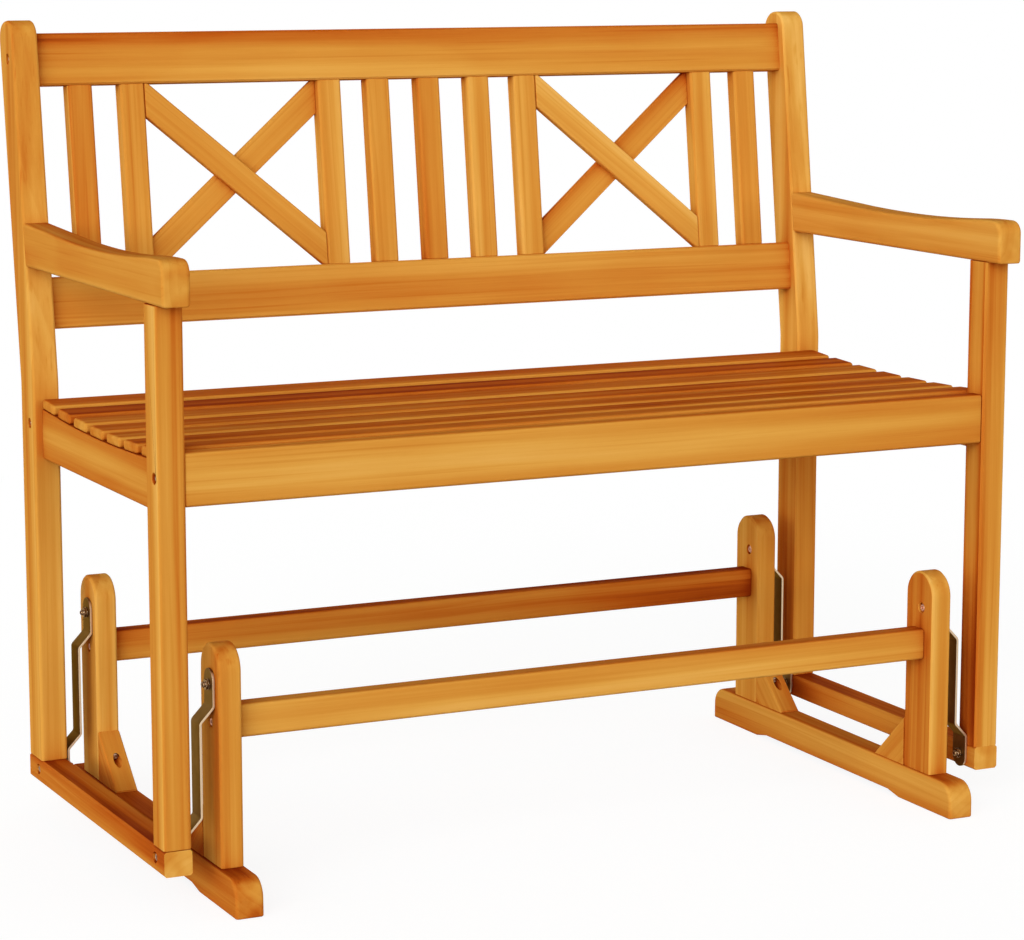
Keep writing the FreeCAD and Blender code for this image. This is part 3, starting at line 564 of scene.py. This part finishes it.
BANDS = {
    "front_leg_left": 1.7, "front_leg_right": 1.7, "rear_post_left": 1.3,
    "rear_post_right": 1.3, "front_apron": 0.6, "stretcher_front": 0.8,
    "back_lower_rail": 0.7, "upright_front_left": 1.4, "upright_front_right": 1.5,
    "upright_rear_left": 1.4, "upright_rear_right": 1.4,
}
OTHER_TONES = (-0.05, 0.06)
TONE_SEED = 1000
WOOD_SEED = 500
SMALL_BOARDS = ("seat_slat", "back_slat", "back_brace")


def looks_of(number, name):
    """What wood() is told about one board, by its kind and then by its name."""
    rng = random.Random(TONE_SEED + number)
    looks = {"tone": TONES.get(name, rng.uniform(*OTHER_TONES))}
    for kind, values in KINDS.items():
        if name.startswith(kind):
            looks.update(values)
    for key, table in (("faces", SIDE_LIGHT_AND_SHADE), ("fades", FADES), ("ends", ENDS), ("bands", BANDS)):
        if name in table:
            looks[key] = table[name]
    return looks


def dress_board(number, name):
    low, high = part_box(name)
    grain, across = grain_of(name)
    dress(NODES[name], wood("wood_" + name, (low + high) / 2, grain, across,
                            WOOD_SEED + number, **looks_of(number, name)))
    if name.startswith(SMALL_BOARDS):
        ease(NODES[name], SMALL_ARRIS, 2)
    else:
        ease(NODES[name], LARGE_ARRIS, 3)


def dress_link(number, name):
    ease(NODES[name], LINK_ARRIS, 2)
    dress(NODES[name], steel("metal_" + name, srgb(114, 88, 56), srgb(222, 198, 164), 0.38,
                             BRUSHED_BAR, number, edge_axis=Y))


for number, name in enumerate(sorted(NODES)):
    if name.startswith("link"):
        dress_link(number, name)
    elif "bolts" not in name and "nuts" not in name:
        dress_board(number, name)


# Fasteners, turned or milled from rings of points

CREASE = math.radians(32)
FASTENER_ARRIS = 0.00015
RING_STEPS = 48
SHANK_STEPS = 32


def rings_into(mesh, rings, place, steps=RING_STEPS):
    """Adds a solid made of rings (height, radius, hexagon across flats or None)."""
    loops = []
    for height, radius, flats in rings:
        loop = []
        for i in range(steps):
            angle = 2 * math.pi * i / steps
            r = radius
            if flats:
                within = (angle % (math.pi / 3)) - math.pi / 6
                r = min(radius, flats / 2.0 / math.cos(within))
            point = Vector((r * math.cos(angle), r * math.sin(angle), height)) * MM
            loop.append(mesh.verts.new(place @ point))
        loops.append(loop)
    for a, b in zip(loops, loops[1:]):
        for i in range(steps):
            j = (i + 1) % steps
            mesh.faces.new((a[i], a[j], b[j], b[i]))
    for loop, height, order in ((loops[0], rings[0][0], -1), (loops[-1], rings[-1][0], 1)):
        middle = mesh.verts.new(place @ (Vector((0, 0, height)) * MM))
        for i in range(steps):
            j = (i + 1) % steps
            pair = (loop[i], loop[j]) if order > 0 else (loop[j], loop[i])
            mesh.faces.new((pair[0], pair[1], middle))


def finish_piece(name, mesh, material, body, replaced=()):
    """Makes a piece of a mesh, with sharp creases and eased arrises, on a body."""
    bmesh.ops.recalc_face_normals(mesh, faces=mesh.faces)
    for face in mesh.faces:
        face.smooth = True
    for edge in mesh.edges:
        if len(edge.link_faces) == 2 and edge.calc_face_angle(0) > CREASE:
            edge.smooth = False
    data = bpy.data.meshes.new(name)
    mesh.to_mesh(data)
    mesh.free()
    obj = bpy.data.objects.new(name, data)
    bpy.context.scene.collection.objects.link(obj)
    data.materials.append(material)
    bevel = obj.modifiers.new("bevel", "BEVEL")
    bevel.limit_method = "ANGLE"
    bevel.angle_limit = CREASE
    bevel.width = FASTENER_ARRIS
    bevel.segments = 2
    bevel.harden_normals = True
    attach(obj, body)
    if replaced:
        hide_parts(*replaced)


def facing(place, way):
    """A placing whose local Z looks along way, in metres at place in millimetres."""
    turn = Vector(way).normalized().to_track_quat("Z", "Y").to_matrix().to_4x4()
    return Matrix.Translation(Vector(place) * MM) @ turn


# Sizes in millimetres: heads are (radius, height, socket), and rings start at the seat
PIVOT_HEAD = (4.8, 3.0, 3.4)
STRETCHER_HEAD = (5.2, 3.8, 3.4)
FRAME_HEAD = (4.2, 2.9, 3.4)
SCREW_HEAD = (3.9, 2.6, 3.0)
SHANK_RADIUS = 3.0
UPPER_SHANK = (0.15, 27.15)
LOWER_SHANK = (0.10, 32.10)
NUT_FLATS = 10.0
WASHER = [(0.00, 5.60, None), (0.15, 5.80, None), (0.70, 5.80, None), (0.85, 5.60, None)]
HEXAGON = [
    (0.85, 4.90, None), (0.95, 5.30, NUT_FLATS), (1.30, 5.77, NUT_FLATS),
    (3.10, 5.77, NUT_FLATS), (3.50, 5.10, NUT_FLATS)]
DOME = [
    (3.55, 3.05, None), (3.90, 2.85, None), (4.30, 3.00, None), (4.90, 3.15, None),
    (5.60, 3.05, None), (6.25, 2.65, None), (6.80, 1.95, None), (7.15, 1.15, None),
    (7.30, 0.35, None)]
DOMED_NUT = WASHER + HEXAGON + DOME
NUT_LENGTH = DOMED_NUT[-1][0]


def socket_head(radius, height, socket):
    """Rings of a button head with a hexagon socket, seated at height 0."""
    return [
        (0.0, radius * 0.95, None), (height * 0.10, radius, None),
        (height * 0.42, radius, None), (height * 0.68, radius * 0.90, None),
        (height * 0.88, radius * 0.73, None), (height, radius * 0.58, None),
        (height * 0.99, socket * 0.62, None), (height * 0.90, socket * 0.60, socket),
        (height * 0.30, socket * 0.60, socket), (height * 0.20, 0.3, None)]


def shank(start, end):
    return [(start, SHANK_RADIUS, None), (end, SHANK_RADIUS, None)]


# Places in millimetres, from the CAD pieces on the right

ACROSS, DEPTH, UP = 0, 1, 2
FRONT_AND_REAR = ("front", "rear")


def span(name, axis):
    """Where a node begins and ends along an axis."""
    low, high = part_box(name)
    return low[axis] / MM, high[axis] / MM


def middle_of(name, axis):
    return sum(span(name, axis)) / 2.0


COUNTERBORE_DEPTH = 4.0
RECESS_DEPTH = 5.0
LINK_TOP_END = 16.5
LINK_LOW_END = 15.5
APRON_BOLT_INSET = 7.5
SEAT_BOLT_RISE = 30.5
TOP_BOLT = (239.1, 840.9)
GUSSET_TOE = 2.0
POCKET_LEAN = math.radians(16)
POCKET_DEPTH = 10.5

BENCH_SIDE_X = span("bottom_rail_right", ACROSS)[1]
UPRIGHT_INNER_X, UPRIGHT_OUTER_X = span("upright_front_right", ACROSS)
UPPER_NUT_X = span("upper_domed_nuts", ACROSS)[1] - NUT_LENGTH
LOWER_NUT_X = span("lower_nuts", ACROSS)[1]
LOWER_Z = span("link_front_right", UP)[0] + LINK_LOW_END
UPPER_Z = span("link_front_right", UP)[1] - LINK_TOP_END
PIVOT_Y = {end: middle_of("link_%s_right" % end, DEPTH) for end in FRONT_AND_REAR}
SEAT_BOLT_Z = span("front_apron", UP)[0] + SEAT_BOLT_RISE
FRAME_BOLTS = {
    "front": ((span("front_apron", DEPTH)[0] + APRON_BOLT_INSET, SEAT_BOLT_Z),),
    "rear": ((middle_of("rear_seat_rail", DEPTH), SEAT_BOLT_Z), TOP_BOLT),
}


# Each of these adds one kind of fastener at one end of one side; way is -1 or 1

def upper_nut(mesh, way, end):
    rings_into(mesh, DOMED_NUT, facing((way * UPPER_NUT_X, PIVOT_Y[end], UPPER_Z), (way, 0, 0)))


def lower_nut(mesh, way, end):
    rings_into(mesh, DOMED_NUT, facing((way * LOWER_NUT_X, PIVOT_Y[end], LOWER_Z), (-way, 0, 0)))


def upper_bolt(mesh, way, end):
    seat = (way * (UPRIGHT_INNER_X + COUNTERBORE_DEPTH), PIVOT_Y[end], UPPER_Z)
    rings_into(mesh, socket_head(*PIVOT_HEAD), facing(seat, (-way, 0, 0)))
    rings_into(mesh, shank(*UPPER_SHANK), facing(seat, (way, 0, 0)), SHANK_STEPS)


def lower_bolt(mesh, way, end):
    seat = (way * (BENCH_SIDE_X - COUNTERBORE_DEPTH), PIVOT_Y[end], LOWER_Z)
    rings_into(mesh, socket_head(*PIVOT_HEAD), facing(seat, (way, 0, 0)))
    rings_into(mesh, shank(*LOWER_SHANK), facing(seat, (-way, 0, 0)), SHANK_STEPS)


def frame_bolt(mesh, way, end):
    for y, z in FRAME_BOLTS[end]:
        seat = (way * (BENCH_SIDE_X - RECESS_DEPTH), y, z)
        rings_into(mesh, socket_head(*FRAME_HEAD), facing(seat, (way, 0, 0)))


def stretcher_bolt(mesh, way, end):
    seat = (way * (UPRIGHT_OUTER_X - RECESS_DEPTH), middle_of("stretcher_" + end, DEPTH),
            middle_of("stretcher_" + end, UP))
    rings_into(mesh, socket_head(*STRETCHER_HEAD), facing(seat, (way, 0, 0)))


def gusset_screw(mesh, way, end):
    """Head in the slanted pocket halfway up the slope of a gusset."""
    gusset = "gusset_%s_right" % end
    lean = -1.0 if end == "front" else 1.0
    into = Vector((0, lean * math.cos(POCKET_LEAN), math.sin(POCKET_LEAN)))
    mouth = Vector((way * middle_of(gusset, ACROSS), middle_of(gusset, DEPTH),
                    middle_of(gusset, UP) + GUSSET_TOE / 2.0))
    rings_into(mesh, socket_head(*SCREW_HEAD), facing(mouth + into * POCKET_DEPTH, -into))


def at_all_corners(draw):
    """A mesh with what draw adds at both ends of both sides."""
    mesh = bmesh.new()
    for way in (-1.0, 1.0):
        for end in FRONT_AND_REAR:
            draw(mesh, way, end)
    return mesh


nut_steel = steel("metal_nuts", srgb(134, 108, 78), srgb(238, 220, 192), 0.16, TURNED, 7)
frame_steel = steel("metal_frame_bolts", srgb(158, 134, 100), srgb(242, 228, 204), 0.16,
                    TURNED, 7)
bolt_steel = steel("metal_bolts", srgb(156, 130, 106), srgb(236, 216, 196), 0.24, TURNED, 11)
pale_steel = steel("metal_stretcher_bolts", srgb(196, 148, 122), srgb(236, 206, 186), 0.30,
                   TURNED, 13)

for name, draw, material, body, replaced in (
        ("domed_nuts", upper_nut, nut_steel, "base", ("upper_domed_nuts",)),
        ("upper_socket_bolts", upper_bolt, pale_steel, "base", ("upper_pivot_bolts",)),
        ("lower_domed_nuts", lower_nut, nut_steel, "bench", ("lower_nuts",)),
        ("lower_socket_bolts", lower_bolt, bolt_steel, "bench", ("lower_pivot_bolts",)),
        ("frame_bolt_heads", frame_bolt, frame_steel, "bench", ()),
        ("stretcher_bolt_heads", stretcher_bolt, pale_steel, "base", ()),
        ("gusset_screw_heads", gusset_screw, bolt_steel, "base", ())):
    finish_piece(name, at_all_corners(draw), material, body, replaced)


# Floor, world and light

FLOOR_RADIUS = 70.0
FLOOR_DROP = 0.0004
NEAR_FLOOR = 1.0
FAR_FLOOR = 2.4
FLOOR_GLOW = 0.872
GLOW_COLOUR = (0.985, 0.995, 1, 1)
FLOOR_SHADE = (0.22, 0.22, 0.22, 1)
FLOOR_WARMTH = (0.34, 0.25, 0.19, 1)
SKY_COLOUR = (1.03, 0.97, 0.91, 1)
SKY_LOW = 2.1
SKY_HIGH = 0.12
WHITE = (1, 1, 1, 1)
SUN_WAY = (-0.68, -0.69, 0.25)
SUN_STRENGTH = 0.62
SUN_SPREAD = math.radians(50)


def seen_directly(t):
    """1 where the ray comes from the camera, a reflection or a clear piece, and else 0."""
    path = t.add("ShaderNodeLightPath")
    seen = t.math("MAXIMUM", path.outputs["Is Camera Ray"], path.outputs["Is Glossy Ray"])
    return t.math("MAXIMUM", seen, path.outputs["Is Transmission Ray"])


def floor_material():
    """Nearly white floor that keeps the object's shadow and throws warm light back at it."""
    material = bpy.data.materials.new("floor")
    t = Tree(material)
    coords = t.add("ShaderNodeTexCoord")
    away = t.vector("LENGTH", coords.outputs["Object"])
    far = t.stretch(away, NEAR_FLOOR, FAR_FLOOR, smooth=True)
    warm = t.add("ShaderNodeBsdfDiffuse", {"Color": FLOOR_WARMTH})
    dull = t.add("ShaderNodeBsdfDiffuse", {"Color": FLOOR_SHADE})
    glow = t.add("ShaderNodeEmission", {"Color": GLOW_COLOUR, "Strength": FLOOR_GLOW})
    near = t.add("ShaderNodeAddShader", {0: dull.outputs[0], 1: glow.outputs[0]})
    white = t.add("ShaderNodeEmission", {"Color": WHITE, "Strength": 1.0})
    shown = t.add("ShaderNodeMixShader", {0: far, 1: near.outputs[0], 2: white.outputs[0]})
    surface = t.add("ShaderNodeMixShader", {
        0: seen_directly(t), 1: warm.outputs[0], 2: shown.outputs[0]})
    t.add("ShaderNodeOutputMaterial", {"Surface": surface.outputs[0]})
    return material


def add_floor():
    mesh = bmesh.new()
    bmesh.ops.create_circle(mesh, cap_ends=True, segments=96, radius=FLOOR_RADIUS)
    data = bpy.data.meshes.new("floor")
    mesh.to_mesh(data)
    mesh.free()
    data.materials.append(floor_material())
    floor = bpy.data.objects.new("floor", data)
    floor.location = (0, 0, -FLOOR_DROP)
    bpy.context.scene.collection.objects.link(floor)


def add_world():
    """White behind the object, and soft light that is strongest at the horizon and below."""
    world = bpy.data.worlds.new("studio")
    bpy.context.scene.world = world
    t = Tree(world)
    height = t.add("ShaderNodeSeparateXYZ", {
        0: t.add("ShaderNodeTexCoord").outputs["Generated"]})
    low = t.math("POWER", t.math("SUBTRACT", 1.0, height.outputs["Z"], clamp=True), 2.0)
    soft = t.add("ShaderNodeBackground", {
        "Color": SKY_COLOUR, "Strength": t.math("MULTIPLY_ADD", low, SKY_LOW, SKY_HIGH)})
    bright = t.add("ShaderNodeBackground", {"Color": WHITE, "Strength": 1.0})
    sky = t.add("ShaderNodeMixShader", {
        0: seen_directly(t), 1: soft.outputs[0], 2: bright.outputs[0]})
    t.add("ShaderNodeOutputWorld", {"Surface": sky.outputs[0]})


def add_sun():
    """Soft directional light from the front left."""
    data = bpy.data.lights.new("key", "SUN")
    data.energy = SUN_STRENGTH * math.pi
    data.angle = SUN_SPREAD
    sun = bpy.data.objects.new("key", data)
    bpy.context.scene.collection.objects.link(sun)
    sun.rotation_mode = "QUATERNION"
    sun.rotation_quaternion = Vector(SUN_WAY).to_track_quat("Z", "Y")


add_floor()
add_world()
add_sun()
